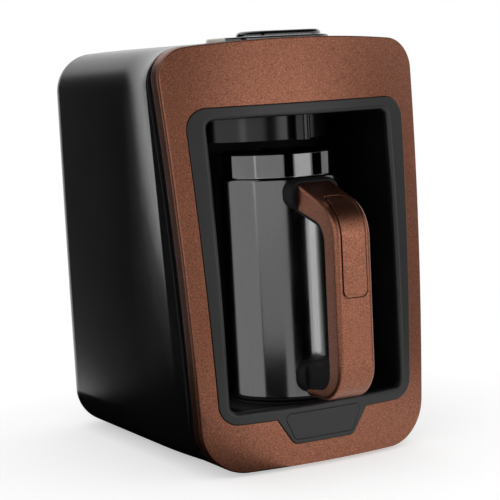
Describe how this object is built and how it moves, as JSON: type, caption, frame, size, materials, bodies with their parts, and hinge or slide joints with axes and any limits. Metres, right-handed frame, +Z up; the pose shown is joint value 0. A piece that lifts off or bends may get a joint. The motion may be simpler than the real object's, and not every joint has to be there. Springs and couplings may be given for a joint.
{
  "type": "electric turkish coffee maker",
  "caption": "Electric Turkish coffee maker: deep black housing, bronze curved front with a pot bay, lift-out pot with a looped handle, and a push button on top.",
  "frame": {"origin": "on the table under the middle of the whole object, handle included", "axes": "+Z up; the pot bay and the pot handle face -Y; +X to the right seen from the front"},
  "size_m": [0.1697, 0.2567, 0.2569],
  "materials": {
    "housing_black": "satin moulded",
    "recess_black": "matte",
    "bronze": "fine speckled metallic paint",
    "bezel_black": "soft satin",
    "gloss_black": "mirror gloss",
    "pot_black": "satin",
    "steel": "fine brushed",
    "chrome": "polished",
    "milky_lens": "translucent satin",
    "rubber": "matte",
    "board_green": "solder mask",
    "component_dark": "moulded",
    "brass": "bright"
  },
  "bodies": {
    "root": {"rear_shell": "housing_black", "front_carrier": "recess_black", "front_frame": "bronze", "front_fascia": "bronze", "window_bezel": "bezel_black", "badge_plate": "bezel_black", "cavity_liner": "recess_black", "ceiling_hood": "housing_black", "steam_sensor": "gloss_black", "sensor_sleeve": "housing_black", "sensor_lens": "gloss_black", "pot_stand": "recess_black", "socket_housing": "recess_black", "socket_contacts": "brass", "base_cover": "housing_black", "feet": "rubber", "base_screws": "steel", "power_board": "board_green", "transformer": "component_dark", "power_relay": "component_dark", "capacitor": "component_dark", "terminal_block": "component_dark", "cord_gland": "rubber", "control_board": "board_green", "tact_switch": "component_dark", "buzzer": "component_dark", "indicator_lamp": "milky_lens", "board_screws": "steel", "power_screws": "steel", "control_island": "gloss_black", "light_window": "milky_lens", "chrome_trim": "chrome", "button_spring": "steel"},
    "button": {"start_button": "gloss_black"},
    "pot": {"pot_jacket": "pot_black", "pot_vessel": "steel", "pot_collar": "gloss_black", "pot_base": "recess_black", "heating_element": "steel", "thermostat": "component_dark", "vessel_seal": "rubber", "plug_housing": "recess_black", "plug_blades": "brass", "handle_strap": "bronze", "handle_liner": "recess_black", "thumb_pad": "bronze", "upper_mount": "recess_black", "lower_mount": "recess_black", "handle_screws": "steel"}
  },
  "joints": [
    {"name": "pot_slide", "type": "slide", "parent": "root", "child": "pot", "axis": [0, -1, 0], "range_m": [0, 0.145]},
    {"name": "button_press", "type": "slide", "parent": "root", "child": "button", "axis": [0, 0, -1], "range_m": [0, 0.0015], "stiffness_N_per_m": 700, "springref_m": -0.0012, "deforming": ["button_spring"]}
  ]
}
